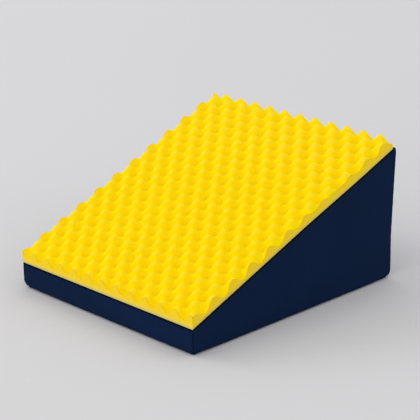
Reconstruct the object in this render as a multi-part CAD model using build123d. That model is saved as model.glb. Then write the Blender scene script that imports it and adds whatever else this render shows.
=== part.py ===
from build123d import *
import os
from math import atan2, ceil, cos, degrees, sin, tan

# Foam positioning wedge with a removable cover and a convoluted foam topper.
# Millimetres. X runs across the width, Y from the low front to the tall back, Z up.
# The origin is on the floor, under the middle of the base.

# ---- Wedge ----
width = 500.0             # across the wedge
depth = 555.0             # from the low front face to the tall back face
front_height = 54.0       # cover height at the front face
back_height = 278.0       # cover height at the back face
corner_radius = 9.0       # rounding of the four upright edges
base_radius = 12.0        # rounding of the edges around the base

# ---- Cover ----
fabric = 1.0              # thickness of the coated cover fabric
core_ease = 0.3           # gap between the foam core and the upright panels

# ---- Convoluted topper, measured square to the deck ----
topper_height = 26.0      # from the deck to the peaks
valley_depth = 17.0       # from the peaks down to the valleys
valley_radius = 17.0      # rim of each valley, at the height of the peaks
pitch_across = 42.3       # from peak to peak across the width
pitch_along = 53.0        # from peak to peak up the slope
first_peak_across = -5.3  # first column of peaks, from the left face
first_peak_along = 14.9   # first row of peaks, up the slope from the front face
topper_side_inset = 1.5   # from each side face to the topper's sawn side
topper_back_inset = 6.0   # from the back face to the topper's back edge

# ---- Zip in the back panel ----
zip_height = 72.0         # centre line of the zip above the floor
zip_length = 430.0        # from the top stops to the bottom stop
zip_end = 8.0             # tape beyond the ends of the coils
zip_window = 12.0         # height of the gap between the two back panels, where the coils show
tape_width = 15.0         # each tape, from its coil edge to its sewn edge
tape_thickness = 0.6
coil_width = 2.4          # each coil, measured across the zip
coil_height = 2.0         # how far a coil stands off its tape
coil_gap = 1.4            # between the two coils, where the slider's bridge runs
stop_length = 3.0
slider_length = 11.0
slider_plate = 1.0        # thickness of the slider's two plates
slider_flange = 0.8       # thickness of the slider's turned-down sides
slider_clearance = 0.35   # between the slider and the coils and tapes
bridge_length = 3.0       # web that joins the slider's two plates
bridge_thickness = 0.7
relief_clearance = 0.5    # between the slider and the channel pressed into the foam
relief_end = 4.0          # channel beyond the ends of the tapes

# ---- Pull tab and the bail that holds it ----
tab_length = 28.0
tab_width = 7.0
tab_thickness = 1.2
tab_clearance = 0.3       # around the tab's crossbar
tab_slot_width = 3.2
tab_slot_length = 3.2     # beyond the crossbar
bail_width = 2.0
bail_thickness = 0.9
bail_opening = 3.5        # between the bail's legs
grip_hole = 3.0           # diameter of the hole near the tab's free end

# ---- Worked out from the values above ----
slope = atan2(back_height - front_height, depth)
front_y = -depth / 2
back_y = depth / 2
zip_start_x = zip_length / 2                 # closed end, where the slider rests
tape_outer_y = back_y - fabric               # face of the tapes that the coils are sewn to
tape_inner_y = tape_outer_y - tape_thickness
coil_outer_y = tape_outer_y + coil_height
slider_inner_y = tape_inner_y - slider_clearance
slider_outer_y = coil_outer_y + slider_clearance
slider_width = coil_gap + 2 * (coil_width + slider_clearance + slider_flange)
slider_rest_x = zip_start_x - slider_clearance - slider_length / 2
slider_travel = zip_length - slider_length - 2 * slider_clearance
tab_axis_y = slider_outer_y + slider_plate + tab_clearance + tab_thickness / 2
core_back_y = back_y - fabric - core_ease
relief_depth = core_back_y - (slider_inner_y - slider_plate - relief_clearance)


def deck_z(y):
    """Height of the deck plane at a place along the depth."""
    return front_height + (y - front_y) * tan(slope)


def block(x0, x1, y0, y1, z0, z1):
    """Box between two corners."""
    centre = Pos((x0 + x1) / 2, (y0 + y1) / 2, (z0 + z1) / 2)
    return centre * Box(x1 - x0, y1 - y0, z1 - z0)


def wedge(side_inset, base_inset, deck_inset):
    """Wedge with rounded upright and base edges, drawn in from the outside of the cover."""
    front = front_y + side_inset
    back = back_y - side_inset
    drop = deck_inset / cos(slope)
    outline = Polyline(
        (front, base_inset),
        (back, base_inset),
        (back, deck_z(back) - drop),
        (front, deck_z(front) - drop),
        close=True,
    )
    half_width = width / 2 - side_inset
    body = extrude(Plane.YZ.offset(-half_width) * make_face(outline), 2 * half_width)
    body = fillet(body.edges().filter_by(Axis.Z), corner_radius - side_inset)
    return fillet(body.faces().sort_by(Axis.Z)[0].edges(), base_radius - base_inset)


def above_deck(offset):
    """Everything above a plane parallel to the deck, this far under its outer face."""
    reach = width + depth + back_height
    low = deck_z(-reach) - offset / cos(slope)
    high = deck_z(reach) - offset / cos(slope)
    outline = Polyline((-reach, low), (reach, high), (-reach, high), close=True)
    return extrude(Plane.YZ.offset(-reach) * make_face(outline), 2 * reach)


def corner_wedge(toward_x, toward_y):
    """Upright prism that takes one side of the cover, split at 45 degrees through the corners."""
    reach = 2.0 * base_radius
    x, y = width / 2 + 1, depth / 2 + 1
    if toward_y:
        corners = [(-x, toward_y * y), (x, toward_y * y)]
        inner = [(x - reach, toward_y * (y - reach)), (-x + reach, toward_y * (y - reach))]
    else:
        corners = [(toward_x * x, -y), (toward_x * x, y)]
        inner = [(toward_x * (x - reach), y - reach), (toward_x * (x - reach), -y + reach)]
    return extrude(make_face(Polyline(*corners, *inner, close=True)), back_height + 1)


def make_cover():
    """The cover's panels, keyed by node name, cut from one shell at the seams."""
    shell = wedge(0, 0, 0) - wedge(fabric, fabric, fabric)
    top = above_deck(fabric)
    bottom = block(-width, width, -depth, depth, 0, fabric)
    walls = shell - top - bottom
    back = walls & corner_wedge(0, 1)
    above_zip = block(-width, width, 0, depth, zip_height, 2 * back_height)
    window = block(
        -zip_length / 2 - stop_length,
        zip_length / 2 + stop_length,
        0,
        depth,
        zip_height - zip_window / 2,
        zip_height + zip_window / 2,
    )
    return {
        "deck_panel": shell & top,
        "base_panel": shell & bottom,
        "front_panel": walls & corner_wedge(0, -1),
        "left_side_panel": walls & corner_wedge(-1, 0),
        "right_side_panel": walls & corner_wedge(1, 0),
        "back_panel_lower": back - above_zip - window,
        "back_panel_upper": (back & above_zip) - window,
    }


def make_core():
    """One block of foam, with the shallow channel that the zip presses into its back."""
    core = wedge(fabric + core_ease, fabric, fabric)
    half_length = zip_length / 2 + zip_end + relief_end
    half_height = coil_gap / 2 + tape_width + relief_end / 2
    channel = block(
        -half_length,
        half_length,
        core_back_y - relief_depth,
        back_y,
        zip_height - half_height,
        zip_height + half_height,
    )
    return core - channel


def on_slope(across, along, height):
    """Point this far from the left face, up the slope and square off the deck."""
    y = front_y + along * cos(slope) - height * sin(slope)
    z = front_height + along * sin(slope) + height * cos(slope)
    return Vector(across - width / 2, y, z)


def valley_places():
    """Places of the valleys: half a pitch beside each peak, in rows that are staggered."""
    rows = ceil(2 * depth / cos(slope) / pitch_along) + 1
    columns = ceil(width / pitch_across) + 1
    places = []
    for row in range(-1, rows):
        stagger = 0.5 if row % 2 == 0 else 0.0
        for column in range(-1, columns):
            across = first_peak_across + (column + stagger) * pitch_across
            along = first_peak_along + row * pitch_along / 2
            inside_across = -valley_radius < across < width + valley_radius
            inside_along = -valley_radius < along < depth / cos(slope) + 2 * valley_radius
            if inside_across and inside_along:
                places.append((across, along))
    return places


def make_topper():
    """Convoluted foam sheet on the deck: upright at the front, square to the deck at the back."""
    half_width = width / 2 - topper_side_inset
    end_y = back_y - topper_back_inset
    back_edge = on_slope(0, (end_y - front_y) / cos(slope), topper_height)
    outline = Polyline(
        (front_y, deck_z(front_y)),
        (end_y, deck_z(end_y)),
        (back_edge.Y, back_edge.Z),
        (front_y, deck_z(front_y) + topper_height / cos(slope)),
        close=True,
    )
    sheet = extrude(Plane.YZ.offset(-half_width) * make_face(outline), 2 * half_width)
    ball_radius = (valley_radius**2 + valley_depth**2) / (2 * valley_depth)
    ball_height = topper_height - valley_depth + ball_radius
    balls = [
        Pos(on_slope(across, along, ball_height)) * Sphere(ball_radius)
        for across, along in valley_places()
    ]
    return sheet - balls


def make_zip_halves():
    """Both tapes and coils, keyed by node name."""
    halves = {}
    tape_end = zip_length / 2 + zip_end
    for name, sign in (("upper", 1), ("lower", -1)):
        edge = sign * coil_gap / 2
        tape_z = sorted((zip_height + edge, zip_height + edge + sign * tape_width))
        coil_z = sorted((zip_height + edge, zip_height + edge + sign * coil_width))
        halves["zip_tape_" + name] = block(
            -tape_end, tape_end, tape_inner_y, tape_outer_y, tape_z[0], tape_z[1]
        )
        coil = block(-zip_start_x, zip_start_x, tape_outer_y, coil_outer_y, coil_z[0], coil_z[1])
        outer_edges = coil.edges().filter_by(Axis.X).group_by(Axis.Y)[-1]
        halves["zip_coil_" + name] = fillet(outer_edges, coil_width * 0.4)
    return halves


def make_stops():
    """Stops past both ends of the coils: two at the closed end, one clip at the other."""
    stop_z = coil_gap / 2 + coil_width
    top_stops = []
    for sign in (1, -1):
        z_range = sorted((zip_height + sign * coil_gap / 2, zip_height + sign * stop_z))
        stop = block(
            zip_start_x,
            zip_start_x + stop_length,
            tape_outer_y,
            coil_outer_y,
            z_range[0],
            z_range[1],
        )
        top_stops.append(fillet(stop.edges().group_by(Axis.Y)[-1], coil_height * 0.2))
    clip = block(
        -zip_start_x - stop_length,
        -zip_start_x,
        tape_outer_y,
        coil_outer_y,
        zip_height - stop_z,
        zip_height + stop_z,
    )
    clip = fillet(clip.edges().group_by(Axis.Y)[-1], coil_height * 0.2)
    return {"zip_top_stops": Compound(children=top_stops), "zip_bottom_stop": clip}


def make_slider():
    """Slider: an outer and an inner plate joined by a bridge, with the bail on the outside."""
    half_length = slider_length / 2
    half_width = slider_width / 2
    plate_edge = slider_outer_y + slider_plate
    outer = block(-half_length, half_length, slider_outer_y, plate_edge, -half_width, half_width)
    outer = fillet(outer.edges().filter_by(Axis.Y), half_width * 0.5)
    inner = block(
        -half_length,
        half_length,
        slider_inner_y - slider_plate,
        slider_inner_y,
        -half_width,
        half_width,
    )
    inner = fillet(inner.edges().filter_by(Axis.Y), half_width * 0.5)
    bridge_x = half_length - half_width * 0.5 - bridge_length
    bridge = block(
        bridge_x,
        bridge_x + bridge_length,
        slider_inner_y,
        slider_outer_y,
        -bridge_thickness / 2,
        bridge_thickness / 2,
    )
    flange_length = slider_length - half_width
    body = outer + inner + bridge
    for sign in (1, -1):
        z_range = sorted((sign * (half_width - slider_flange), sign * half_width))
        body += block(
            -flange_length / 2,
            flange_length / 2,
            tape_outer_y + slider_clearance,
            slider_outer_y,
            z_range[0],
            z_range[1],
        )
    return Pos(slider_rest_x, 0, zip_height) * (body + make_bail(plate_edge))


def make_bail(plate_y):
    """Small arch on the slider that the pull tab's crossbar turns in."""
    half_length = bail_opening / 2 + bail_thickness
    top_y = tab_axis_y + tab_thickness / 2 + tab_clearance + bail_thickness
    arch = block(-half_length, half_length, plate_y, top_y, -bail_width / 2, bail_width / 2)
    top_edges = arch.edges().filter_by(Axis.Z).group_by(Axis.Y)[-1]
    arch = fillet(top_edges, bail_thickness * 0.6)
    window = block(
        -bail_opening / 2,
        bail_opening / 2,
        plate_y,
        top_y - bail_thickness,
        -bail_width,
        bail_width,
    )
    return arch - window


def make_pull_tab():
    """Flat tab with a slot over the bail, lying along the coils towards the open end."""
    radius = tab_thickness / 2
    blade = block(-tab_length, 0, -radius, radius, -tab_width / 2, tab_width / 2)
    free_corners = blade.edges().filter_by(Axis.Y).group_by(Axis.X)[0]
    blade = fillet(free_corners, tab_width * 0.45)
    slot = block(-radius - tab_slot_length, 0, -radius, radius, -tab_slot_width / 2, tab_slot_width / 2)
    hole_x = -tab_length + tab_width / 2
    hole = Pos(hole_x, 0, 0) * Rot(90, 0, 0) * Cylinder(grip_hole / 2, tab_thickness * 2)
    crossbar = Cylinder(radius, tab_width)
    tab = (blade - slot - hole) + crossbar
    return Pos(slider_rest_x, tab_axis_y, zip_height) * tab


def make_part():
    """Every piece of the wedge, keyed by node name."""
    nodes = {"foam_core": make_core(), "convoluted_topper": make_topper()}
    nodes.update(make_cover())
    nodes.update(make_zip_halves())
    nodes.update(make_stops())
    nodes["zip_slider"] = make_slider()
    nodes["zip_pull_tab"] = make_pull_tab()
    return nodes


os.makedirs("parts", exist_ok=True)
for node, shape in make_part().items():
    shape.label = node
    export_step(shape, f"parts/{node}.step")

print(f"slope {degrees(slope):.2f} degrees")
print(f"slider travel {slider_travel:.2f} mm, from x {slider_rest_x:.3f}")
print(f"tab axis at x {slider_rest_x:.3f}, y {tab_axis_y:.3f}, z {zip_height:.3f}")
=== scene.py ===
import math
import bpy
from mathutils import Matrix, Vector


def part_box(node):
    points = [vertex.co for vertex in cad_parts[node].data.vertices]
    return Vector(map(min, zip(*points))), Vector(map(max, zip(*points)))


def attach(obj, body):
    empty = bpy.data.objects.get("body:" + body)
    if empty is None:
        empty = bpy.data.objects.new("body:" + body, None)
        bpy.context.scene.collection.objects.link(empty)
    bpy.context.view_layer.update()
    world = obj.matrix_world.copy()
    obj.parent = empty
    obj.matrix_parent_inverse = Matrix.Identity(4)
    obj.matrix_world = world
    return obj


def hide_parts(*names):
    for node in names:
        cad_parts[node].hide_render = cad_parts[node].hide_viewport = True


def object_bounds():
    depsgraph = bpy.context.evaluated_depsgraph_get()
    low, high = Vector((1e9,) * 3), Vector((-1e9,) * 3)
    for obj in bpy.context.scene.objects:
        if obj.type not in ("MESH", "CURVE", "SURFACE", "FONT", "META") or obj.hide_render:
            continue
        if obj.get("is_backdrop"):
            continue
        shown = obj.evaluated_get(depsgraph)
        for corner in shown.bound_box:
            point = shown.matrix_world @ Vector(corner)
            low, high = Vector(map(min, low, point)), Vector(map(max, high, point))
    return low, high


bl_info = {
    "name": "Covered Foam Wedge",
    "version": (1, 0, 0),
    "blender": (4, 5, 0),
    "location": "View3D > Sidebar > Foam Wedge",
    "description": "Builds a zip-covered foam wedge with a convoluted foam topper around its frame",
    "category": "Add Mesh",
}

import bpy
import numpy as np
from bpy.props import FloatProperty, FloatVectorProperty, IntProperty, PointerProperty
from mathutils import Matrix, Vector

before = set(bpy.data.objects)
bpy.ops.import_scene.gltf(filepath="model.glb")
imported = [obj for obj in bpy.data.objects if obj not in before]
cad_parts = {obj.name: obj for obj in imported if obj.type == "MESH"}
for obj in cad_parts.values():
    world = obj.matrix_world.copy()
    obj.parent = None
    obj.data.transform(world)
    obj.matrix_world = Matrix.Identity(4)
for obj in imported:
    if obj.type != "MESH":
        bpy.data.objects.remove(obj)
cad_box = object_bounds()

# ---- Places read from the frame, in metres ----
DECK_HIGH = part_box("deck_panel")[1]
TOPPER_LOW, TOPPER_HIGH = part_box("convoluted_topper")
BASE_LOW, BASE_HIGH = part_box("base_panel")
ZIP_LOW, ZIP_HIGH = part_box("zip_bottom_stop")
COIL_LOW, COIL_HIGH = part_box("zip_coil_upper")
TAPE_LOW, TAPE_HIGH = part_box("zip_tape_upper")
STOPS_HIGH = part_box("zip_top_stops")[1]

HALF_WIDTH = DECK_HIGH.x
HALF_DEPTH = DECK_HIGH.y
FRONT_HEIGHT = TOPPER_LOW.z
BACK_HEIGHT = DECK_HIGH.z
FABRIC = BASE_HIGH.z - BASE_LOW.z
SLOPE = math.atan2(BACK_HEIGHT - FRONT_HEIGHT, 2 * HALF_DEPTH)
SLOPE_LENGTH = 2 * HALF_DEPTH / math.cos(SLOPE)
ZIP_HEIGHT = (ZIP_LOW.z + ZIP_HIGH.z) / 2
ZIP_WINDOW_X = STOPS_HIGH.x
OFF_SLOPE = np.array([0.0, -math.sin(SLOPE), math.cos(SLOPE)])

MM = 0.001

# The deck is hollow towards the back: how deep, and where along the depth that starts and ends
HOLLOW = 3.4 * MM
HOLLOW_START = 0.0
HOLLOW_END = 0.2

# The cover's fabric as the cloth simulation takes it, and how long that runs
CLOTH = {
    "quality": 6,
    "mass": 0.3,
    "tension_stiffness": 30,
    "compression_stiffness": 30,
    "shear_stiffness": 12,
    "bending_stiffness": 1.2,
    "vertex_group_mass": "seams",
    "use_pressure": True,
    "uniform_pressure_force": 6.0,
    "shrink_min": -0.002,
}
CLOTH_FRAMES = 20

# How far from an upright seam, and from a level one, a panel reaches its full crown
UPRIGHT_REACH = 70 * MM
LEVEL_REACH = 28 * MM

# Distances from an edge at which the points beside a seam stand
SEAM_STEPS = np.array([0, 0.4, 0.9, 1.6, 2.8, 4.6]) * MM
FOLD_STEPS = np.array([0, 0.3, 0.7, 1.3, 2.2, 3.6]) * MM


# ---- Settings a maker would change ----
def measure(name, default, description):
    """A setting that is a length."""
    return FloatProperty(name=name, description=description, default=default, unit="LENGTH")


def angular(name, degrees, description):
    """A setting that is an angle."""
    return FloatProperty(
        name=name, description=description, default=math.radians(degrees), subtype="ANGLE"
    )


def tint(name, default, description):
    """A setting that is a colour."""
    return FloatVectorProperty(
        name=name, description=description, default=default, subtype="COLOR", size=3
    )


class CoverSettings(bpy.types.PropertyGroup):
    """Sizes and colour of the fitted cover."""

    corner_radius: measure("Corner radius", 7.5 * MM, "Rounding of the upright corners")
    base_radius: measure("Base radius", 11 * MM, "Rounding where the walls turn under the base")
    rear_base_radius: measure(
        "Rear base radius", 19 * MM,
        "Rounding under the tall back, where the foam is softer from handling",
    )
    corner_fullness: FloatProperty(
        name="Corner fullness",
        description="How far the front corners round under like the rear, from 0 to 1",
        default=0.8,
    )
    back_lean: measure(
        "Back lean", 12 * MM,
        "How far the top of the tall back stands out behind its zip",
    )
    back_round: measure(
        "Back rounding", 4.5 * MM,
        "How far the foam pulls the fabric forwards at the top of the tall back",
    )
    crown: measure("Crown", 2.0 * MM, "The most that the foam pushes a panel out between its seams")
    corner_seam: measure(
        "Corner seam", 1.3 * MM,
        "How far the fabric turns in at the upright seams and along the zip",
    )
    deck_seam: measure(
        "Deck seam", 1.3 * MM,
        "How far the fabric turns in where the walls meet the deck",
    )
    pucker: measure("Seam pucker", 0.22 * MM, "Height of the small gathers beside a seam")
    cell: measure("Mesh spacing", 6 * MM, "Distance between mesh points over the panels")
    colour: tint("Fabric colour", (0.0038, 0.0131, 0.0440), "Colour of the woven cover")


class TopperSettings(bpy.types.PropertyGroup):
    """Sizes and colours of the convoluted foam sheet."""

    valley: measure("Valley height", 7.0 * MM, "Foam left under the valleys, square to the deck")
    rise: measure("Rise", 19.2 * MM, "From a valley up to a peak")
    front_pitch: measure(
        "Pitch at the front", 41.4 * MM,
        "From peak to peak across the width, at the low edge",
    )
    back_pitch: measure(
        "Pitch at the back", 43.2 * MM,
        "From peak to peak across the width, at the tall edge, where the sheet is stretched",
    )
    row_pitch: measure("Row pitch", 53.0 * MM, "From peak to peak up the slope")
    first_column: measure(
        "First column", -5.3 * MM,
        "Place of the first column of peaks, from the left edge",
    )
    first_row: measure(
        "First row", 14.9 * MM,
        "Place of the first row of peaks, from the front edge",
    )
    drift: FloatProperty(
        name="Drift",
        description="How far the columns lean to one side for each metre up the slope",
        default=0.003,
    )
    bluntness: FloatProperty(
        name="Bluntness",
        description="0 gives a plain wave, more gives rounder peaks and steeper flanks",
        default=0.2,
    )
    front_inset: measure("Front inset", 1.0 * MM, "From the front face back to the sawn front edge")
    rear_skew: measure(
        "Rear skew", 4.5 * MM,
        "How much further back the sawn rear edge reaches at its right end",
    )
    cell: measure("Mesh spacing", 2.6 * MM, "Distance between mesh points on the convoluted face")
    colour: tint("Foam colour", (0.976, 0.733, 0.0008), "Colour of the moulded skin")
    cut_colour: tint("Cut foam colour", (0.98, 0.672, 0.021), "Colour of the sawn edges")


class ZipSettings(bpy.types.PropertyGroup):
    """Sizes of the zip's coils and stitching."""

    coil_pitch: measure("Coil pitch", 1.5 * MM, "From one turn of a coil to the next")
    wire: measure("Coil wire", 0.62 * MM, "Thickness of the nylon filament")
    window: measure("Window", 11 * MM, "Height of the gap between the two back panels")
    stitch: measure("Stitch length", 3.2 * MM, "From one stitch to the next in the topstitching")
    wire_sides: IntProperty(
        name="Coil sides",
        description="Sides of the coil's filament",
        default=6,
    )


class StageSettings(bpy.types.PropertyGroup):
    """Camera and light."""

    azimuth: angular("Azimuth", 46.352, "Turn of the camera about the wedge")
    elevation: angular("Elevation", 19.60, "Height of the camera above the floor, as an angle")
    roll: angular("Roll", -0.881, "Tilt of the camera about its own axis")
    distance: measure("Distance", 3.953, "From the camera to the point it looks at")
    lens: FloatProperty(
        name="Lens",
        description="Focal length for a 36 mm sensor, in millimetres",
        default=159.5,
    )
    aim: FloatVectorProperty(
        name="Aim",
        description="Point that the camera looks at",
        subtype="TRANSLATION",
        size=3,
        default=(-0.15738, 0.15908, 0.075),
    )
    backdrop: tint("Backdrop colour", (0.632, 0.626, 0.638), "Colour of the floor and backdrop")


# ---- Shader maths ----
class Wire:
    """One output socket. Arithmetic on wires adds Math nodes to their material."""

    def __init__(self, graph, socket):
        self.graph = graph
        self.socket = socket

    def maths(self, operation, *values):
        """A Math node on these values."""
        inputs = dict(enumerate(values))
        return self.graph.node("ShaderNodeMath", {"operation": operation}, inputs)

    def __add__(self, other):
        return self.maths("ADD", self, other)

    def __radd__(self, other):
        return self.maths("ADD", other, self)

    def __sub__(self, other):
        return self.maths("SUBTRACT", self, other)

    def __rsub__(self, other):
        return self.maths("SUBTRACT", other, self)

    def __mul__(self, other):
        return self.maths("MULTIPLY", self, other)

    def __rmul__(self, other):
        return self.maths("MULTIPLY", other, self)

    def sine(self):
        """Sine of this value, in radians."""
        return self.maths("SINE", self)

    def absolute(self):
        """This value without its sign."""
        return self.maths("ABSOLUTE", self)

    def clamped(self):
        """This value, kept between 0 and 1."""
        return self.maths("MINIMUM", self.maths("MAXIMUM", self, 0.0), 1.0)


class Graph:
    """A material and its node tree."""

    def __init__(self, name):
        self.material = bpy.data.materials.new(name)
        self.material.use_nodes = True
        self.tree = self.material.node_tree
        self.tree.nodes.clear()

    def node(self, kind, settings=None, inputs=None, output=0):
        """Adds a node, sets it up, then fills its sockets. Returns the wire of one output."""
        made = self.tree.nodes.new(kind)
        for name, value in (settings or {}).items():
            setattr(made, name, value)
        for name, value in (inputs or {}).items():
            if isinstance(name, int):
                socket = made.inputs[name]
            else:
                socket = next(s for s in made.inputs if s.enabled and s.name == name)
            if isinstance(value, Wire):
                self.tree.links.new(value.socket, socket)
            else:
                socket.default_value = value
        found = [s for s in made.outputs if s.enabled] if made.outputs else [None]
        if isinstance(output, str):
            return Wire(self, next(s for s in found if s.name == output))
        return Wire(self, found[output])

    def place(self):
        """The three coordinates of a point, in metres."""
        spot = self.node("ShaderNodeTexCoord", output="Object")
        split = [
            self.node("ShaderNodeSeparateXYZ", None, {"Vector": spot}, axis) for axis in "XYZ"
        ]
        return spot, split

    def noise(self, spot, scale, detail=2.0, roughness=0.5, stretch=(1, 1, 1)):
        """Soft noise from 0 to 1; scale is in cycles per metre."""
        mapped = self.node(
            "ShaderNodeVectorMath",
            {"operation": "MULTIPLY"},
            {0: spot, 1: tuple(float(s) for s in stretch)},
        )
        return self.node(
            "ShaderNodeTexNoise",
            {"noise_dimensions": "3D"},
            {"Vector": mapped, "Scale": scale, "Detail": detail, "Roughness": roughness},
        )

    def cells(self, spot, scale):
        """Distance to the nearest cell centre, as in open foam; scale is in cells per metre."""
        return self.node(
            "ShaderNodeTexVoronoi",
            {"feature": "F1"},
            {"Vector": spot, "Scale": scale},
            "Distance",
        )

    def blend(self, amount, first, second):
        """A colour between two, by an amount from 0 to 1."""
        return self.node(
            "ShaderNodeMix",
            {"data_type": "RGBA", "clamp_factor": True},
            {"Factor": amount, "A": first, "B": second},
        )

    def bump(self, height, distance, strength=1.0):
        """Surface normal raised by a height from 0 to 1 times a distance."""
        return self.node(
            "ShaderNodeBump",
            None,
            {"Height": height, "Distance": distance, "Strength": strength},
        )

    def finish(self, colour, roughness, normal=None, **constants):
        """Ends the tree with a Principled shader. Constants have _ for each space in a name."""
        sockets = {name.replace("_", " "): value for name, value in constants.items()}
        sockets.update({"Base Color": colour, "Roughness": roughness})
        if normal is not None:
            sockets["Normal"] = normal
        shader = self.node("ShaderNodeBsdfPrincipled", None, sockets)
        self.node("ShaderNodeOutputMaterial", None, {"Surface": shader})
        return self.material


def hollow(share):
    """Depth of the deck's hollow, for the share of the way from its start to its end."""
    return share * share * (3 - share * 2) * HOLLOW


def shade(colour, factor):
    """A colour with alpha, made lighter or darker."""
    return tuple(min(1.0, c * factor) for c in colour) + (1.0,)


def over_deck(xyz):
    """Height over the deck, square to it."""
    share = ((xyz[1] - HOLLOW_START) * (1 / (HOLLOW_END - HOLLOW_START))).clamped()
    slope = (xyz[1] + HALF_DEPTH) * math.tan(SLOPE) + FRONT_HEIGHT
    return (xyz[2] - slope + hollow(share)) * math.cos(SLOPE)


def seam_shade_mask(xyz, width):
    """Mask of painted shade in the folds: 1 where the walls meet the deck and each other, fading to
    0 beside them.
    """
    under = (over_deck(xyz) * (1 / width) + 1.5).clamped()
    corner = (HALF_WIDTH - xyz[0].absolute()) - (HALF_DEPTH - xyz[1].absolute())
    beside = (1 - corner.absolute() * (1.6 / width)).clamped()
    return under.maths("MAXIMUM", under, beside)


def woven(name, colour, across, up):
    """Plain woven polyester, with painted shade in its seam folds. across and up are the indices of
    the axes that the threads follow.
    """
    thread = 0.6 * MM
    g = Graph(name)
    spot, xyz = g.place()
    step = math.pi / thread
    warp = (xyz[across] * step).sine()
    weft = (xyz[up] * step).sine()
    crossing = warp * weft * 0.5 + 0.5
    slub_across = g.noise(spot, 900, 1.0, stretch=[0.06 if i == across else 1 for i in range(3)])
    slub_up = g.noise(spot, 900, 1.0, stretch=[0.06 if i == up else 1 for i in range(3)])
    threads = crossing * 0.65 + slub_across * 0.2 + slub_up * 0.2
    patches = g.noise(spot, 9, 3.0)
    fibres = g.noise(spot, 2600, 2.0)
    tone = (threads * 0.6 + patches * 0.5 + fibres * 0.15 - 0.12).clamped()
    colours = g.blend(tone, shade(colour, 0.62), shade(colour, 1.42))
    # Painted shade: the cloth goes almost black in the seam folds, where shade falls.
    colours = g.blend(seam_shade_mask(xyz, 2.8 * MM) * 0.93, colours, shade(colour, 0.06))
    rough = (0.70 + patches * 0.14 + crossing * 0.06).clamped()
    relief = g.bump(threads * 0.8 + fibres * 0.2, 0.22 * MM, 0.9)
    return g.finish(
        colours,
        rough,
        relief,
        Specular_IOR_Level=0.03,
        Sheen_Weight=0.010,
        Sheen_Roughness=0.45,
        Sheen_Tint=(0.25, 0.5, 0.95, 1.0),
    )


def above_deck(xyz, start, span):
    """Share, from 0 to 1, of the way through a span of height over the deck."""
    return ((over_deck(xyz) - start) * (1 / span)).clamped()


def moulded_foam(name, foam):
    """Skin of convoluted foam: open cells, soft mottling, peaks a little paler towards their tips.
    """
    g = Graph(name)
    colour = foam.colour
    spot, xyz = g.place()
    pores = g.cells(spot, 950)
    coarse = g.cells(spot, 380)
    mottle = g.noise(spot, 28, 3.0)
    drift = g.noise(spot, 5, 2.0)
    tone = (pores * 0.55 + coarse * 0.25 + mottle * 0.35 + drift * 0.15 - 0.1).clamped()
    deep = (colour[0] * 0.94, colour[1] * 0.90, colour[2] * 0.5, 1.0)
    light = (colour[0] * 1.01, colour[1] * 1.04, colour[2] + 0.002, 1.0)
    colours = g.blend(tone, light, deep)
    # The peaks turn paler towards their tips.
    tips = above_deck(xyz, foam.valley + 0.72 * foam.rise, 0.28 * foam.rise)
    paler_tip_colour = (colour[0] * 1.03, colour[1] * 0.99, 0.032, 1.0)
    colours = g.blend(tips * (0.45 + mottle * 0.3), colours, paler_tip_colour)
    relief = g.bump(1 - (pores * 0.7 + coarse * 0.4) + mottle * 0.3, 0.5 * MM, 0.8)
    rough = (0.80 + mottle * 0.12).clamped()
    return g.finish(colours, rough, relief, Specular_IOR_Level=0.04)


def sawn_foam(name, colour, pale_and_shaded_at_deck=False):
    """Cut face of foam: finer open cells, faint blade marks, and near the deck a paler band, then
    painted shade in the seam below it.
    """
    g = Graph(name)
    spot, xyz = g.place()
    pores = g.cells(spot, 1300)
    marks = g.noise(spot, 160, 2.0, stretch=(1, 1, 0.07))
    mottle = g.noise(spot, 40, 3.0)
    tone = (pores * 0.6 + marks * 0.35 + mottle * 0.25 - 0.15).clamped()
    colours = g.blend(tone, shade(colour, 1.04), shade(colour, 0.88))
    if pale_and_shaded_at_deck:
        # Paler towards the deck, over the lowest 9 mm.
        paler_band = (1 - above_deck(xyz, 0.5 * MM, 9 * MM)) * (0.7 + mottle * 0.4)
        colours = g.blend(paler_band, colours, (0.93, 0.695, 0.080, 1.0))
        # Painted shade: darker and greyer over the lowest 7.5 mm, where shade falls in the seam
        # with the cover.
        painted_seam_shade = (1 - above_deck(xyz, 0.2 * MM, 7.5 * MM)) * (0.6 + mottle * 0.4)
        colours = g.blend(painted_seam_shade, colours, (0.54, 0.49, 0.17, 1.0))
    relief = g.bump(1 - pores * 0.7 + marks * 0.5, 0.4 * MM, 0.8)
    rough = (0.84 + mottle * 0.1).clamped()
    return g.finish(colours, rough, relief, Specular_IOR_Level=0.04)


def woven_tape(name, colour):
    """Narrow woven tape with a herringbone rib."""
    g = Graph(name)
    spot, xyz = g.place()
    rib = 2 * math.pi / (1.1 * MM)
    chevron = (xyz[2] * (2 * math.pi / (4.4 * MM))).sine().absolute()
    twill = ((xyz[0] + chevron * (1.6 * MM)) * rib).sine() * 0.5 + 0.5
    fibres = g.noise(spot, 2400, 2.0)
    tone = (twill * 0.7 + fibres * 0.4 - 0.1).clamped()
    colours = g.blend(tone, shade(colour, 0.6), shade(colour, 1.5))
    relief = g.bump(twill * 0.8 + fibres * 0.2, 0.2 * MM, 0.9)
    rough = (0.72 + fibres * 0.15).clamped()
    return g.finish(colours, rough, relief, Specular_IOR_Level=0.25, Sheen_Weight=0.1)


def dyed_nylon(name, colour):
    """Smooth nylon filament, with faint drawing lines and uneven dye."""
    g = Graph(name)
    spot, _ = g.place()
    dye = g.noise(spot, 60, 2.0)
    lines = g.noise(spot, 1800, 1.0)
    tone = (dye * 0.8 + lines * 0.3 - 0.05).clamped()
    colours = g.blend(tone, shade(colour, 0.7), shade(colour, 1.5))
    rough = (0.30 + lines * 0.16 + dye * 0.06).clamped()
    relief = g.bump(lines, 0.03 * MM, 0.5)
    return g.finish(colours, rough, relief, Specular_IOR_Level=0.5)


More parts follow.
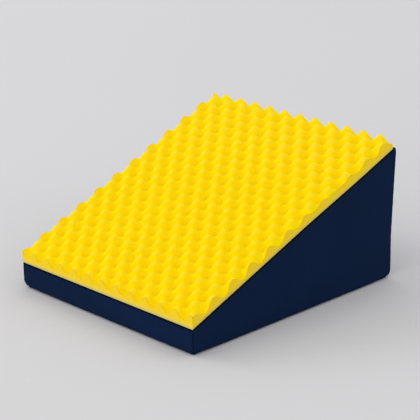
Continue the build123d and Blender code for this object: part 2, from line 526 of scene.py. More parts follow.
def enamel(name, colour):
    """Baked enamel on a small casting: slight orange peel, worn a little lighter in patches."""
    g = Graph(name)
    spot, _ = g.place()
    peel = g.noise(spot, 900, 2.0)
    wear = g.noise(spot, 260, 4.0, 0.65)
    worn = ((wear - 0.62) * 6).clamped()
    colours = g.blend(worn * 0.5, shade(colour, 1.0), shade(colour, 3.2))
    rough = (0.28 + peel * 0.12 + worn * 0.25).clamped()
    relief = g.bump(peel, 0.04 * MM, 0.6)
    return g.finish(colours, rough, relief, Specular_IOR_Level=0.5)


def satin_metal(name, colour):
    """Stamped aluminium with fine rolling lines."""
    g = Graph(name)
    spot, _ = g.place()
    lines = g.noise(spot, 2500, 2.0, stretch=(0.08, 1, 1))
    smudge = g.noise(spot, 300, 2.0)
    tone = (lines * 0.7 + smudge * 0.3).clamped()
    colours = g.blend(tone, shade(colour, 0.8), shade(colour, 1.12))
    rough = (0.28 + lines * 0.14 + smudge * 0.08).clamped()
    relief = g.bump(lines, 0.02 * MM, 0.5)
    return g.finish(colours, rough, relief, Metallic=1.0)


def twisted_thread(name, colour):
    """Sewing thread, with the slanted light and dark of its plies."""
    g = Graph(name)
    spot, xyz = g.place()
    ply = ((xyz[0] + xyz[2]) * (2 * math.pi / (0.5 * MM))).sine() * 0.5 + 0.5
    fuzz = g.noise(spot, 3000, 2.0)
    tone = (ply * 0.7 + fuzz * 0.3).clamped()
    colours = g.blend(tone, shade(colour, 0.6), shade(colour, 1.7))
    rough = (0.55 + fuzz * 0.2).clamped()
    relief = g.bump(ply, 0.08 * MM, 0.8)
    return g.finish(colours, rough, relief, Specular_IOR_Level=0.3, Sheen_Weight=0.15)


def plain_floor(name, colour):
    """Matte studio floor with hardly any variation."""
    g = Graph(name)
    spot, _ = g.place()
    cloud = g.noise(spot, 1.2, 2.0)
    colours = g.blend(cloud, shade(colour, 0.99), shade(colour, 1.01))
    return g.finish(colours, 0.9 + cloud * 0.05, Specular_IOR_Level=0.1)


# ---- Mesh helpers ----
def deck_height(y):
    """Height of the deck's outer face at a place along the depth."""
    share = ((y - HOLLOW_START) / (HOLLOW_END - HOLLOW_START)).clip(0, 1)
    return FRONT_HEIGHT + (y + HALF_DEPTH) * math.tan(SLOPE) - hollow(share)


def ripple(seed, waves, longest, shortest):
    """A gentle random surface from -1 to 1, as a function of two arrays of places in metres."""
    random = np.random.default_rng(seed)
    angle = random.uniform(0, 2 * math.pi, waves)
    length = random.uniform(shortest, longest, waves)
    phase = random.uniform(0, 2 * math.pi, waves)

    def value(a, b):
        total = 0.0
        for i in range(waves):
            along = a * math.cos(angle[i]) + b * math.sin(angle[i])
            total = total + np.sin(2 * math.pi * along / length[i] + phase[i])
        return total / math.sqrt(waves)

    return value


def new_piece(name, points, faces, materials, smooth=True):
    """A mesh object in the scene, made of points and faces."""
    mesh = bpy.data.meshes.new(name)
    mesh.from_pydata([tuple(p) for p in points], [], faces)
    mesh.validate()
    for material in materials:
        mesh.materials.append(material)
    for polygon in mesh.polygons:
        polygon.use_smooth = smooth
    piece = bpy.data.objects.new(name, mesh)
    bpy.context.scene.collection.objects.link(piece)
    return piece


def stands_for(piece, node):
    """The piece rides on the wedge's body, in place of this CAD node."""
    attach(piece, "wedge")
    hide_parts(node)
    return piece


def grid_faces(rows, columns, start=0, flip=False):
    """Quads between the points of a grid that is stored row by row."""
    faces = []
    for i in range(rows - 1):
        for j in range(columns - 1):
            a = start + i * columns + j
            quad = (a, a + 1, a + columns + 1, a + columns)
            faces.append(quad[::-1] if flip else quad)
    return faces


def border(rows, columns):
    """Row and column of each point round the edge of a grid, in order."""
    edge = [(i, 0) for i in range(rows)]
    edge += [(rows - 1, j) for j in range(1, columns)]
    edge += [(i, columns - 1) for i in range(rows - 2, -1, -1)]
    edge += [(0, j) for j in range(columns - 2, 0, -1)]
    return edge


def ring_faces(start, size, rings, flip=False):
    """Quads between rings of points that are stored ring by ring."""
    faces = []
    for first in range(start, start + (rings - 1) * size, size):
        for n in range(size):
            m = (n + 1) % size
            quad = (first + n, first + m, first + size + m, first + size + n)
            faces.append(quad[::-1] if flip else quad)
    return faces


def sheet_mesh(name, outer, normals, thickness, material):
    """A closed cloth panel: a grid of points, its lining a thickness inside, and a rim."""
    rows, columns, _ = outer.shape
    inner = outer - normals * thickness
    count = rows * columns
    faces = grid_faces(rows, columns) + grid_faces(rows, columns, count, flip=True)
    ring = [i * columns + j for i, j in border(rows, columns)]
    for a, b in zip(ring, ring[1:] + ring[:1]):
        faces.append((b, a, a + count, b + count))
    points = np.concatenate([outer.reshape(-1, 3), inner.reshape(-1, 3)])
    piece = new_piece(name, points, faces, [material])
    fix_normals(piece)
    return piece


def fix_normals(piece):
    """Turns every face of a closed mesh outwards."""
    bpy.context.view_layer.update()
    mesh = piece.data
    volume = 0.0
    for polygon in mesh.polygons:
        first = mesh.vertices[polygon.vertices[0]].co
        for a, b in zip(polygon.vertices[1:-1], polygon.vertices[2:]):
            volume += first.dot(mesh.vertices[a].co.cross(mesh.vertices[b].co))
    if volume < 0:
        mesh.flip_normals()


def swell(gap, reach):
    """Share of the crown at a distance from a seam: none at the seam, all of it past the reach."""
    near = (1 - gap / reach).clip(0, 1)
    return np.sqrt(1 - near**3)


def pushed_out(grid, normals, gaps, cap, seed):
    """A panel held at its seams and pressed out by the foam, by cloth simulation.

    gaps holds each point's distance from the nearest end of its row and of its column."""
    rows, columns, _ = grid.shape
    crown = swell(gaps[0], UPRIGHT_REACH) * swell(gaps[1], LEVEL_REACH) * cap
    uneven = ripple(seed, 14, 0.19, 0.05)(grid[:, :, 0] + grid[:, :, 1], grid[:, :, 2])
    start = grid + normals * (crown * (0.25 + 0.16 * uneven))[:, :, None]
    cloth = new_piece("cloth", start.reshape(-1, 3), grid_faces(rows, columns), [])
    held = cloth.vertex_groups.new(name="seams")
    edge = [i * columns + j for i, j in border(rows, columns)]
    held.add(edge, 1.0, "REPLACE")
    modifier = cloth.modifiers.new("cloth", "CLOTH")
    for name, value in CLOTH.items():
        setattr(modifier.settings, name, value)
    modifier.settings.effector_weights.gravity = 0
    modifier.collision_settings.use_collision = False
    modifier.point_cache.frame_start = 1
    modifier.point_cache.frame_end = CLOTH_FRAMES
    scene = bpy.context.scene
    for number in range(1, CLOTH_FRAMES + 1):
        scene.frame_set(number)
    shaped = cloth.evaluated_get(bpy.context.evaluated_depsgraph_get()).data
    places = np.empty(rows * columns * 3)
    shaped.vertices.foreach_get("co", places)
    scene.frame_set(1)
    bpy.data.objects.remove(cloth)
    out = ((places.reshape(rows, columns, 3) - grid) * normals).sum(axis=2)
    soft = cap * np.tanh(out.clip(0) / cap)
    return grid + normals * soft[:, :, None]


def spread(length, fine, coarse):
    """Places from 0 to length: close together at both ends, then wider apart."""
    ends = [0.0]
    step = fine
    while step < coarse and ends[-1] + step < length * 0.4:
        ends.append(ends[-1] + step)
        step *= 1.5
    ends = np.array(ends)
    middle_length = length - 2 * ends[-1]
    count = max(1, round(middle_length / coarse))
    middle = ends[-1] + middle_length * np.arange(1, count) / count
    return np.concatenate([ends, middle, length - ends[::-1]])


def seamed(grid, normals, gaps, depths, cover, seed):
    """Turns a panel's edges in at its seams, with small gathers beside them.

    gaps holds each point's distance from the first row, last row, first column and last column,
    and depths says how far the fabric turns in at each; 0 is an edge that isn't a seam."""
    turned = np.zeros(grid.shape[:2])
    away = np.full(grid.shape[:2], 1.0)
    for gap, depth in zip(gaps, depths):
        if depth:
            away = np.minimum(away, gap)
            inward = (1 - gap / (1.6 * depth)).clip(0, 1)
            turned = np.maximum(turned, depth * (1 - np.sqrt(1 - inward**2)))
    gather_reach = 7 * MM
    gathers = ripple(seed, 9, 0.019, 0.009)(grid[:, :, 0] + grid[:, :, 1] * 1.1, grid[:, :, 2])
    beside = np.exp(-((away / gather_reach) ** 2)) * (away / (2 * MM)).clip(0, 1)
    shift = gathers * beside * cover.pucker - turned
    return grid + normals * shift[:, :, None]


def edge_gaps(rows, columns):
    """Distances of a grid's points from its first row, last row, first column and last column."""
    down = (rows - rows[0])[:, None] + 0 * columns
    over = columns - columns[:, :1] if columns.ndim == 2 else (columns - columns[0])[None, :]
    over = over + 0 * down
    return down, down.max() - down, over, over.max(axis=1, keepdims=True) - over


# ---- Wall panels ----
def wall_line(side, cover):
    """The plan outline of one wall: half a rounded corner, a straight run, half a corner.

    side counts round the wedge: 0 front, 1 right, 2 back, 3 left. Returns points, outward
    directions, and each point's distance along the line."""
    half = (HALF_WIDTH, HALF_DEPTH)[side % 2]
    out = (HALF_DEPTH, HALF_WIDTH)[side % 2]
    radius = cover.corner_radius
    run = 2 * (half - radius)
    arc = radius * math.pi / 4
    corner = spread(2 * arc, 0.45 * MM, 1.6 * MM)
    corner = corner[corner <= arc + 1e-9]
    straight = arc + spread(run, 2.4 * MM, cover.cell)[1:-1]
    places = np.concatenate([corner, [arc], straight, [arc + run], 2 * arc + run - corner[::-1]])
    places = np.unique(np.round(places, 7))
    turn = (places - arc).clip(None, 0) / radius + (places - arc - run).clip(0) / radius
    centre = (places - arc).clip(0, run) - half + radius
    facing = np.column_stack([np.sin(turn), np.cos(turn)])
    points = np.column_stack([centre, np.full(len(places), out - radius)]) + radius * facing
    heading = side * math.pi / 2
    right = np.array([math.cos(heading), math.sin(heading)])
    outward = np.array([math.sin(heading), -math.cos(heading)])
    axes = np.array([right, outward])
    return points @ axes, facing @ axes, places


def wall_grid(side, cover, levels, heights=None):
    """Points of a wall, their outward directions, and their places along the wall.

    levels run from 0 at the floor to 1 at the deck, unless heights turns them into heights."""
    plan, facing, places = wall_line(side, cover)
    corner_reach = 22 * MM
    rear = ((plan[:, 1] / HALF_DEPTH - 0.80) / 0.2).clip(0, 1)
    full = np.exp(-np.minimum(places, places[-1] - places) / corner_reach)
    fuller = np.maximum(rear**2, cover.corner_fullness * full)
    radius = cover.base_radius + (cover.rear_base_radius - cover.base_radius) * fuller
    top = deck_height(plan[:, 1])
    grid = np.empty((len(places), len(levels), 3))
    normals = np.empty_like(grid)
    for j, level in enumerate(levels):
        z = top * level if heights is None else heights(plan, level)
        under = (1 - z / radius).clip(0, 1)
        level_out = np.sqrt(1 - under**2)
        grid[:, j, :2] = plan - facing * (radius * (1 - level_out))[:, None]
        grid[:, j, 2] = z
        normals[:, j, :2] = facing * level_out[:, None]
        normals[:, j, 2] = -under
    return grid, normals, places


def leaning(points):
    """The tall back, drawn out above the zip and rounded over at its top."""
    cover = bpy.context.scene.wedge_cover
    y = points[..., 1]
    z = points[..., 2]
    foot = ZIP_HEIGHT + 9 * MM
    round_height = 16 * MM
    round_depth = 10 * MM
    near = ((y / HALF_DEPTH - 0.55) / 0.45).clip(0, 1) ** 2
    rise = ((z - foot) / (BACK_HEIGHT - foot)).clip(0, 1)
    out = rise**2 / (rise + 0.12) * 1.12
    corner = 1 - ((BACK_HEIGHT - z) / round_height).clip(0, 1)
    rim = 1 - ((HALF_DEPTH - y) / round_depth).clip(0, 1)
    moved = points.copy()
    moved[..., 1] += near * (cover.back_lean * out - cover.back_round * corner**2)
    moved[..., 2] -= 0.45 * cover.back_round * corner * rim**2
    return moved


def lean_piece(piece):
    """Moves a finished mesh with the lean of the back."""
    for vertex in piece.data.vertices:
        vertex.co = leaning(np.array(vertex.co))


def stacked(*runs):
    """One rising list of numbers from several, without repeats."""
    return np.unique(np.round(np.concatenate(runs), 6))


def wall_levels(cover, height):
    """Shares of a wall's height: fine at the base and the deck seam."""
    low = cover.base_radius * (1 - np.cos(np.linspace(0, math.pi / 2, 8))) / height
    top = 1 - SEAM_STEPS / FRONT_HEIGHT
    middle = np.linspace(low[-1], top[-1], max(8, round(height / cover.cell)))
    return stacked(low, middle, top)


def below_zip(cover, window):
    """Heights of the lower back panel: from under the base up to the edge of the window."""
    low = cover.rear_base_radius * (1 - np.cos(np.linspace(0, math.pi / 2, 10)))
    top = ZIP_HEIGHT - window - FOLD_STEPS
    return stacked(low, np.linspace(low[-1], top[-1], 8), top)


def above_zip(cover, window):
    """Heights of the upper back panel: from the window's edge up to the deck seam."""
    low = ZIP_HEIGHT + window + FOLD_STEPS
    top = deck_height(np.array(HALF_DEPTH)) - np.append(SEAM_STEPS, [8 * MM, 12 * MM])
    count = round((top[-1] - low[-1]) / cover.cell)
    return stacked(low, np.linspace(low[-1], top[-1], count), top)


def closing(plan, height, sign, window):
    """Height of a back panel's edge: open along the zip, closed to a seam past its ends."""
    closed = ((np.abs(plan[:, 0]) - ZIP_WINDOW_X) / (3 * MM)).clip(0, 1)
    shut = closed * closed * (3 - 2 * closed)
    near = np.exp(-abs(height - ZIP_HEIGHT - sign * window) / (8 * MM))
    return height - sign * window * shut * near


def make_panel(name, side, levels, heights, crown, edges, seed, node):
    """One wall panel: pressed out by the foam, turned in at its seams, standing on the floor.

    edges says how far the fabric turns in at its lower and at its upper edge."""
    cover = bpy.context.scene.wedge_cover
    grid, normals, places = wall_grid(side, cover, levels, heights)
    gaps = edge_gaps(places, grid[:, :, 2])
    ends = (np.minimum(gaps[0], gaps[1]), np.minimum(gaps[2], gaps[3]))
    grid = pushed_out(grid, normals, ends, crown, seed)
    depths = (cover.corner_seam, cover.corner_seam) + edges
    grid = seamed(grid, normals, gaps, depths, cover, seed + 50)
    grid[:, :, 2] = grid[:, :, 2].clip(0)
    material = woven(name + "_cloth", cover.colour, side % 2, 2)
    piece = sheet_mesh(name, leaning(grid), normals, FABRIC * 0.9, material)
    return stands_for(piece, node)


def make_wall(name, side, seed, node):
    """A front or side panel, from its seam under the base to its seam at the deck."""
    cover = bpy.context.scene.wedge_cover
    levels = wall_levels(cover, (FRONT_HEIGHT, BACK_HEIGHT * 0.7)[side % 2])
    edges = (0, cover.deck_seam)
    return make_panel(name, side, levels, None, cover.crown, edges, seed, node)


def make_back(name, sign, seed, node):
    """One of the two back panels, with its folded edge along the zip."""
    cover = bpy.context.scene.wedge_cover
    window = bpy.context.scene.wedge_zip.window / 2
    if sign > 0:
        levels, edges = above_zip(cover, window), (cover.corner_seam, cover.deck_seam)
    else:
        levels, edges = below_zip(cover, window), (0, cover.corner_seam)

    def heights(plan, z):
        return closing(plan, z, sign, window)

    return make_panel(name, 2, levels, heights, cover.crown * 0.8, edges, seed, node)


def rounded_plan(inset, cover, count):
    """Points round the wedge's plan, drawn in by an inset; count is for each straight side."""
    radius = max(cover.corner_radius - inset, 1 * MM)
    x = HALF_WIDTH - inset - radius
    y = HALF_DEPTH - inset - radius
    centres = np.array([(x, -y), (x, y), (-x, y), (-x, -y)])
    points = []
    for turn, centre in enumerate(centres):
        turned = (turn - 1) * math.pi / 2 + np.linspace(0, math.pi / 2, 7)
        arc = radius * np.column_stack([np.cos(turned), np.sin(turned)])
        goal = centres[(turn + 1) % 4] + arc[-1]
        points.append(centre + arc)
        points.append(np.linspace(centre + arc[-1], goal, count + 1)[1:-1])
    return np.concatenate(points)


def flat_panel(name, heights, insets, cover, material, thickness):
    """A closed panel made of rings that shrink towards its middle. heights gives z for a plan."""
    rings = []
    for inset in insets:
        plan = rounded_plan(inset, cover, 34)
        rings.append(np.column_stack([plan, heights(plan, inset)]))
    edge = rings[-1]
    for share in np.linspace(0, 1, 26)[1:-1]:
        plan = edge[:, :2] * (1 - share)
        rings.append(np.column_stack([plan, heights(plan, HALF_WIDTH * share)]))
    middle = np.zeros((1, 3))
    middle[:, 2] = heights(middle[:, :2], HALF_WIDTH)
    top = np.concatenate(rings + [middle])
    bottom = top - np.array([0, 0, thickness])
    size = len(edge)
    inmost = (len(rings) - 1) * size
    faces = []
    for start, flip in ((0, False), (len(top), True)):
        faces += ring_faces(start, size, len(rings), flip)
        centre = start + len(top) - 1
        for n in range(size):
            tri = (start + inmost + n, start + inmost + (n + 1) % size, centre)
            faces.append(tri[::-1] if flip else tri)
    for n in range(size):
        m = (n + 1) % size
        faces.append((m, n, len(top) + n, len(top) + m))
    piece = new_piece(name, np.concatenate([top, bottom]), faces, [material])
    fix_normals(piece)
    return piece


class WEDGE_OT_cover_walls(bpy.types.Operator):
    """Build the front and side panels of the cover"""

    bl_idname = "wedge.cover_walls"
    bl_label = "Front and side panels"

    def execute(self, context):
        front = make_wall("front_cover_panel", 0, 11, "front_panel")
        for name, side, seed, node in (
            ("right_cover_panel", 1, 12, "right_side_panel"),
            ("left_cover_panel", 3, 13, "left_side_panel"),
        ):
            make_wall(name, side, seed, node)
        return {"FINISHED"}


class WEDGE_OT_cover_back(bpy.types.Operator):
    """Build the two back panels, above and below the zip"""

    bl_idname = "wedge.cover_back"
    bl_label = "Back panels"

    def execute(self, context):
        lower = make_back("back_cover_lower", -1, 14, "back_panel_lower")
        upper = make_back("back_cover_upper", 1, 15, "back_panel_upper")
        return {"FINISHED"}


class WEDGE_OT_cover_ends(bpy.types.Operator):
    """Build the deck panel and the base panel of the cover"""

    bl_idname = "wedge.cover_ends"
    bl_label = "Deck and base panels"

    def execute(self, context):
        cover = context.scene.wedge_cover
        cloth = woven("deck_cloth", cover.colour, 0, 1)

        def deck(plan, inset):
            pulled = max(0.0, 1 - inset / (11 * MM)) ** 2
            return deck_height(plan[:, 1]) - (0.15 + 1.1 * pulled) * MM

        insets = cover.deck_seam + np.array([0, 0.6, 1.6, 3, 5, 9, 16]) * MM
        panel = flat_panel("deck_cover_panel", deck, insets, cover, cloth, FABRIC * 0.8)
        lean_piece(panel)
        stands_for(panel, "deck_panel")

        waves = ripple(31, 12, 0.16, 0.05)

        def base(plan, inset):
            rise = 0.25 * MM * (1 + waves(plan[:, 0], plan[:, 1]) * 0.5).clip(0)
            return FABRIC + rise * min(1.0, inset / (30 * MM))

        insets = cover.base_radius + np.array([-2.5, -1.5, 0, 2.5, 7, 14]) * MM
        panel = flat_panel("base_cover_panel", base, insets, cover, cloth, FABRIC * 0.95)
        stands_for(panel, "base_panel")
        return {"FINISHED"}


# ---- Foam ----
def foam_height(x, along, foam):
    """Height of the convoluted face above the deck, square to it."""
    pitch = foam.front_pitch + (foam.back_pitch - foam.front_pitch) * along / SLOPE_LENGTH
    across = (x + HALF_WIDTH - foam.first_column - foam.drift * along) / pitch
    up = (along - foam.first_row) / foam.row_pitch
    wave = np.cos(2 * math.pi * across) * np.cos(2 * math.pi * up)
    shaped = wave + foam.bluntness * (wave - wave**3)
    uneven = 1 + 0.035 * ripple(21, 10, 0.23, 0.06)(x, along)
    rough = 0.10 * MM * ripple(22, 24, 0.012, 0.0055)(x, along)
    return foam.valley + foam.rise * uneven * (1 + shaped) / 2 + rough


def topper_faces(foam):
    """Grids of points for the convoluted face and for the glued face straight under it."""
    edge = TOPPER_HIGH.x - 0.3 * MM
    columns = round(2 * edge / foam.cell) + 1
    length = (TOPPER_HIGH.y + HALF_DEPTH) / math.cos(SLOPE)
    rows = round(length / foam.cell) + 1
    length = length + foam.rear_skew * np.linspace(0, 1, columns)[:, None] ** 2
    x = np.linspace(-edge, edge, columns)[:, None] * np.ones((1, rows))
    share = np.linspace(0, 1, rows)[None, :] * np.ones((columns, 1))
    first = np.zeros((columns, 1))
    for _ in range(8):
        first = foam.front_inset + foam_height(x[:, :1], first, foam) * math.tan(SLOPE)
    along = first + (length - first) * share
    height = foam_height(x, along, foam)
    y = -HALF_DEPTH + along * math.cos(SLOPE) - height * math.sin(SLOPE)
    z = FRONT_HEIGHT + along * math.sin(SLOPE) + height * math.cos(SLOPE)
    top = np.stack([x, y, z], axis=2)
    under = top - height[:, :, None] * OFF_SLOPE
    upright = (1 - share / 0.05).clip(0, 1)
    flush = -HALF_DEPTH + foam.front_inset
    under[:, :, 1] += (flush - under[:, :, 1]) * upright
    under[:, :, 2] = deck_height(under[:, :, 1])
    return top, under


class WEDGE_OT_topper(bpy.types.Operator):
    """Build the convoluted foam sheet, sawn flush with the cover"""

    bl_idname = "wedge.topper"
    bl_label = "Convoluted topper"

    def execute(self, context):
        foam = context.scene.wedge_topper
        top, under = topper_faces(foam)
        columns, rows, _ = top.shape
        count = columns * rows
        faces = grid_faces(columns, rows) + grid_faces(columns, rows, count, flip=True)
        edge = border(columns, rows)
        size = len(edge)
        upper = np.array([top[i, j] for i, j in edge])
        lower = np.array([under[i, j] for i, j in edge])
        points = [top.reshape(-1, 3), under.reshape(-1, 3)]
        rings = [[i * rows + j for i, j in edge]]
        layers = 5
        for n in range(1, layers):
            points.append(upper + (lower - upper) * n / layers)
            start = 2 * count + (n - 1) * size
            rings.append(list(range(start, start + size)))
        rings.append([n + count for n in rings[0]])
        sawn_start = len(faces)
        for over, below in zip(rings, rings[1:]):
            for n in range(size):
                m = (n + 1) % size
                faces.append((over[m], over[n], below[n], below[m]))
        materials = [
            moulded_foam("convoluted_foam", foam),
            sawn_foam("sawn_foam", foam.cut_colour, pale_and_shaded_at_deck=True),
        ]
        piece = new_piece("egg_crate_topper", np.concatenate(points), faces, materials)
        for polygon in piece.data.polygons[sawn_start:]:
            polygon.material_index = 1
            polygon.use_smooth = False
        fix_normals(piece)
        stands_for(piece, "convoluted_topper")
        return {"FINISHED"}


class WEDGE_OT_core(bpy.types.Operator):
    """Build the foam block inside the cover"""

    bl_idname = "wedge.core"
    bl_label = "Core block"

    def execute(self, context):
        cover = context.scene.wedge_cover
        inset = 2.6 * MM
        below_deck = 1.9 * MM
        zip_relief = 1.6 * MM
        low = FABRIC + 0.6 * MM
        radius = cover.base_radius
        plan = rounded_plan(inset, cover, 16)
        top = deck_height(plan[:, 1]) - below_deck
        zip_face = plan[:, 1] > HALF_DEPTH - inset - 0.1 * MM
        rings = []
        for level in np.linspace(0, 1, 18):
            z = low + (top - low) * level
            under = (1 - (z - low) / radius).clip(0, 1)
            shrink = 1 - radius * (1 - np.sqrt(1 - under**2)) / HALF_WIDTH
            pressed = zip_relief * (zip_face & (abs(z - ZIP_HEIGHT) < 19 * MM))
            rings.append(np.column_stack([plan[:, 0] * shrink, plan[:, 1] * shrink - pressed, z]))
        size = len(plan)
        faces = ring_faces(0, size, len(rings))
        last = (len(rings) - 1) * size
        faces.append(tuple(range(size))[::-1])
        faces.append(tuple(range(last, last + size)))
        foam = sawn_foam("core_foam", (0.82, 0.76, 0.58))
        piece = new_piece("core_block", np.concatenate(rings), faces, [foam], smooth=False)
        lean_piece(piece)
        fix_normals(piece)
        stands_for(piece, "foam_core")
        return {"FINISHED"}


# ---- Zip ----
def tube(line, radius, sides):
    """Points and faces of a closed tube along a line of points."""
    line = np.asarray(line)
    ahead = np.gradient(line, axis=0)
    ahead /= np.linalg.norm(ahead, axis=1, keepdims=True)
    side = np.cross(ahead, np.array([1.0, 0.0, 0.0]) + 1e-3)
    side /= np.linalg.norm(side, axis=1, keepdims=True)
    up = np.cross(ahead, side)
    rings = []
    for n in range(sides):
        angle = 2 * math.pi * n / sides
        rings.append(line + radius * (math.cos(angle) * side + math.sin(angle) * up))
    points = np.stack(rings, axis=1).reshape(-1, 3)
    faces = ring_faces(0, sides, len(line))
    faces.append(tuple(range(sides))[::-1])
    last = (len(line) - 1) * sides
    faces.append(tuple(range(last, last + sides)))
    return points, faces


def joined(parts):
    """One list of points and faces from several."""
    points = []
    faces = []
    start = 0
    for more_points, more_faces in parts:
        points.append(np.asarray(more_points))
        faces += [tuple(n + start for n in face) for face in more_faces]
        start += len(more_points)
    return np.concatenate(points), faces


def coil_line(sign, settings):
    """Centre line of one coil: a flattened spiral whose heads reach just past the middle."""
    turns = int((COIL_HIGH.x - COIL_LOW.x) / settings.coil_pitch)
    steps = 12
    angle = np.arange(turns * steps + 1) * 2 * math.pi / steps
    past_middle = 0.35 * MM
    offset = 0.45 * settings.coil_pitch * (sign < 0)
    advance = 0.994 * settings.coil_pitch / (2 * math.pi)
    x = COIL_LOW.x + settings.wire + advance * angle + offset
    reach_z = (COIL_HIGH.z - ZIP_HEIGHT + past_middle - settings.wire) / 2
    reach_y = (COIL_HIGH.y - COIL_LOW.y - settings.wire) / 2
    middle_z = COIL_HIGH.z - settings.wire / 2 - reach_z - ZIP_HEIGHT
    middle_y = (COIL_LOW.y + COIL_HIGH.y) / 2
    z = ZIP_HEIGHT + sign * (middle_z + reach_z * np.cos(angle))
    y = middle_y + reach_y * np.sin(angle)
    return np.column_stack([x, y, z])


def stitches(name, z, y, material):
    """A row of separate lock stitches along X, each a short arched thread."""
    settings = bpy.context.scene.wedge_zip
    start = -ZIP_WINDOW_X
    count = int(2 * ZIP_WINDOW_X / settings.stitch)
    share = np.linspace(0, 1, 7)
    parts = []
    for n in range(count):
        x = start + (n + 0.12 + 0.76 * share) * settings.stitch
        arch = 0.34 * MM * np.sin(math.pi * share) ** 0.6 - 0.2 * MM
        tilt = 0.12 * MM * (share - 0.5)
        line = np.column_stack([x, y(x) + arch, np.full(7, z) + tilt])
        parts.append(tube(line, 0.24 * MM, 6))
    points, faces = joined(parts)
    return new_piece(name, points, faces, [material])


def make_tape(name, sign, cloth):
    """One woven tape, from behind its coil to its sewn edge."""
    width = TAPE_HIGH.z - TAPE_LOW.z
    x = np.linspace(TAPE_LOW.x, TAPE_HIGH.x, 160)
    across = np.linspace(0.02 * MM, TAPE_LOW.z - ZIP_HEIGHT + width, 9)
    z = ZIP_HEIGHT + sign * across
    if sign < 0:
        z = z[::-1]
    wave = 0.05 * MM * ripple(41, 8, 0.03, 0.012)(x[:, None], z[None, :] * 3)
    y = TAPE_HIGH.y - 0.06 * MM + wave
    grid = np.stack([x[:, None] + 0 * y, y, z[None, :] + 0 * y], axis=2)[::-1]
    outward = np.zeros_like(grid) + np.array([0.0, 1.0, 0.0])
    tape = sheet_mesh("tape_" + name, grid, outward, 0.4 * MM, cloth)
    stands_for(tape, "zip_tape_" + name)


def make_stitching(name, sign, thread):
    """A row of stitches beside one edge of the window."""
    z = ZIP_HEIGHT + sign * (bpy.context.scene.wedge_zip.window / 2 + 2.4 * MM)
    row = stitches("topstitch_" + name, z, surface_reader("back_cover_" + name, z), thread)
    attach(row, "wedge")


class WEDGE_OT_zip(bpy.types.Operator):
    """Build the zip's tapes, coils and stitching, and finish its metal parts"""

    bl_idname = "wedge.zip"
    bl_label = "Zip"

    def execute(self, context):
        settings = context.scene.wedge_zip
        colour = context.scene.wedge_cover.colour
        tape_cloth = woven_tape("zip_tape_cloth", colour)
        nylon = dyed_nylon("coil_nylon", colour)
        thread = twisted_thread("cover_thread", colour)
        for name, sign in (("upper", 1), ("lower", -1)):
            make_tape(name, sign, tape_cloth)
            points, faces = tube(coil_line(sign, settings), settings.wire / 2, settings.wire_sides)
            coil = new_piece("coil_" + name, points, faces, [nylon])
            fix_normals(coil)
            stands_for(coil, "zip_coil_" + name)
        for name, sign in (("upper", 1), ("lower", -1)):
            make_stitching(name, sign, thread)
        metal = satin_metal("stop_metal", (0.60, 0.61, 0.63))
        paint = enamel("slider_paint", (0.012, 0.024, 0.062))
        for node, material in (
            ("zip_top_stops", metal),
            ("zip_bottom_stop", metal),
            ("zip_slider", paint),
            ("zip_pull_tab", paint),
        ):
            finish_node(node, material, 0.18 * MM)
        return {"FINISHED"}


def surface_reader(panel, z):
    """A function that gives the Y of a back panel's outer face along one height."""
    places = np.array([v.co for v in bpy.data.objects[panel].data.vertices])
    outer = places[: len(places) // 2]
    outer = outer[abs(outer[:, 0]) < ZIP_WINDOW_X + 8 * MM]
    columns = np.unique(np.round(outer[:, 0], 5))
    depths = []
    for x in columns:
        column = outer[abs(outer[:, 0] - x) < 0.01 * MM]
        column = column[np.argsort(column[:, 2])]
        depths.append(np.interp(z, column[:, 2], column[:, 1]))
    return lambda x: np.interp(x, columns, depths)


def finish_node(node, material, radius):
    """Gives a CAD part its material and small rounded edges."""
    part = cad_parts[node]
    part.data.materials.clear()
    part.data.materials.append(material)
    rounding = part.modifiers.new("rounded edges", "BEVEL")
    rounding.width = radius
    rounding.segments = 2
    rounding.limit_method = "ANGLE"
    rounding.angle_limit = math.radians(40)


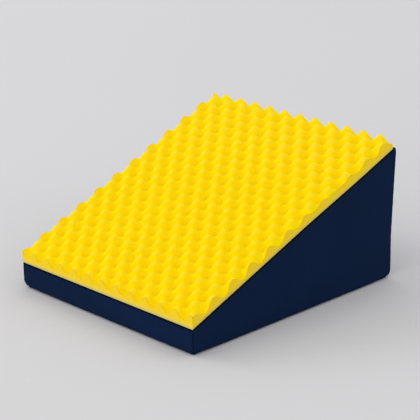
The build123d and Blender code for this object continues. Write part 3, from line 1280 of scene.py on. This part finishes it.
# ---- Stage ----
class WEDGE_OT_stage(bpy.types.Operator):
    """Build the floor, the lights and the camera"""

    bl_idname = "wedge.stage"
    bl_label = "Stage"

    def execute(self, context):
        stage = context.scene.wedge_stage
        context.scene.view_settings.view_transform = "Standard"
        self.add_camera(context, stage)
        self.add_floor(stage)
        self.add_light("key_light", (-6.6, -2.6, 4.1), 116)
        self.add_light("front_light", (1.4, -8.0, 1.9), 95)
        world = bpy.data.worlds.new("studio")
        world.use_nodes = True
        sky = world.node_tree.nodes["Background"].inputs
        sky["Color"].default_value = (1, 1, 1, 1)
        sky["Strength"].default_value = 0.95
        context.scene.world = world
        return {"FINISHED"}

    def add_camera(self, context, stage):
        """A long lens, turned and rolled about the point it looks at."""
        a, e, roll = stage.azimuth, stage.elevation, stage.roll
        away = Vector((math.sin(a) * math.cos(e), -math.cos(a) * math.cos(e), math.sin(e)))
        level = Vector((math.cos(a), math.sin(a), 0))
        above = away.cross(level)
        right = level * math.cos(roll) + above * math.sin(roll)
        up = above * math.cos(roll) - level * math.sin(roll)
        camera = bpy.data.objects.new("camera", bpy.data.cameras.new("camera"))
        turn = Matrix((right, up, away)).transposed().to_4x4()
        camera.matrix_world = Matrix.Translation(Vector(stage.aim) + away * stage.distance) @ turn
        camera.data.sensor_width = 36
        camera.data.lens = stage.lens
        camera.data.clip_end = 60
        context.scene.collection.objects.link(camera)
        context.scene.camera = camera

    def add_floor(self, stage):
        """A wide floor under the wedge."""
        reach = 14.0
        corners = [(-reach, -reach, 0), (reach, -reach, 0), (reach, reach, 0), (-reach, reach, 0)]
        paint = plain_floor("floor_paint", stage.backdrop)
        new_piece("floor", corners, [(0, 1, 2, 3)], [paint])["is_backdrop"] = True

    def add_light(self, name, place, power):
        """A square soft light, aimed at the wedge."""
        light = bpy.data.objects.new(name, bpy.data.lights.new(name, "AREA"))
        light.data.size = 3.0
        light.data.energy = power
        light.location = place
        direction = Vector((0, 0, 0.1)) - Vector(place)
        light.rotation_euler = direction.to_track_quat("-Z", "Y").to_euler()
        bpy.context.scene.collection.objects.link(light)


class WEDGE_PT_panel(bpy.types.Panel):
    """Buttons and settings in the 3D view's sidebar"""

    bl_label = "Foam Wedge"
    bl_idname = "WEDGE_PT_panel"
    bl_space_type = "VIEW_3D"
    bl_region_type = "UI"
    bl_category = "Foam Wedge"

    def draw(self, context):
        for operator in OPERATORS:
            self.layout.operator(operator.bl_idname)
        for owner in SETTINGS:
            group = getattr(context.scene, owner)
            for name in group.__annotations__:
                self.layout.prop(group, name)


SETTINGS = {
    "wedge_cover": CoverSettings,
    "wedge_topper": TopperSettings,
    "wedge_zip": ZipSettings,
    "wedge_stage": StageSettings,
}
OPERATORS = (
    WEDGE_OT_stage,
    WEDGE_OT_core,
    WEDGE_OT_cover_walls,
    WEDGE_OT_cover_back,
    WEDGE_OT_cover_ends,
    WEDGE_OT_topper,
    WEDGE_OT_zip,
)


def register():
    """Registers the settings, the operators and the panel."""
    for owner, group in SETTINGS.items():
        bpy.utils.register_class(group)
        setattr(bpy.types.Scene, owner, PointerProperty(type=group))
    for cls in OPERATORS + (WEDGE_PT_panel,):
        bpy.utils.register_class(cls)


def unregister():
    """Takes back what register did."""
    for cls in (WEDGE_PT_panel,) + OPERATORS[::-1]:
        bpy.utils.unregister_class(cls)
    for owner, group in SETTINGS.items():
        delattr(bpy.types.Scene, owner)
        bpy.utils.unregister_class(group)


def main():
    """Builds everything in order."""
    register()
    bpy.ops.wedge.stage()
    bpy.ops.wedge.core()
    bpy.ops.wedge.cover_walls()
    bpy.ops.wedge.cover_back()
    bpy.ops.wedge.cover_ends()
    bpy.ops.wedge.topper()
    bpy.ops.wedge.zip()
    boxes = [[list(map(float, corner)) for corner in box] for box in (cad_box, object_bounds())]


if __name__ == "__main__":
    main()
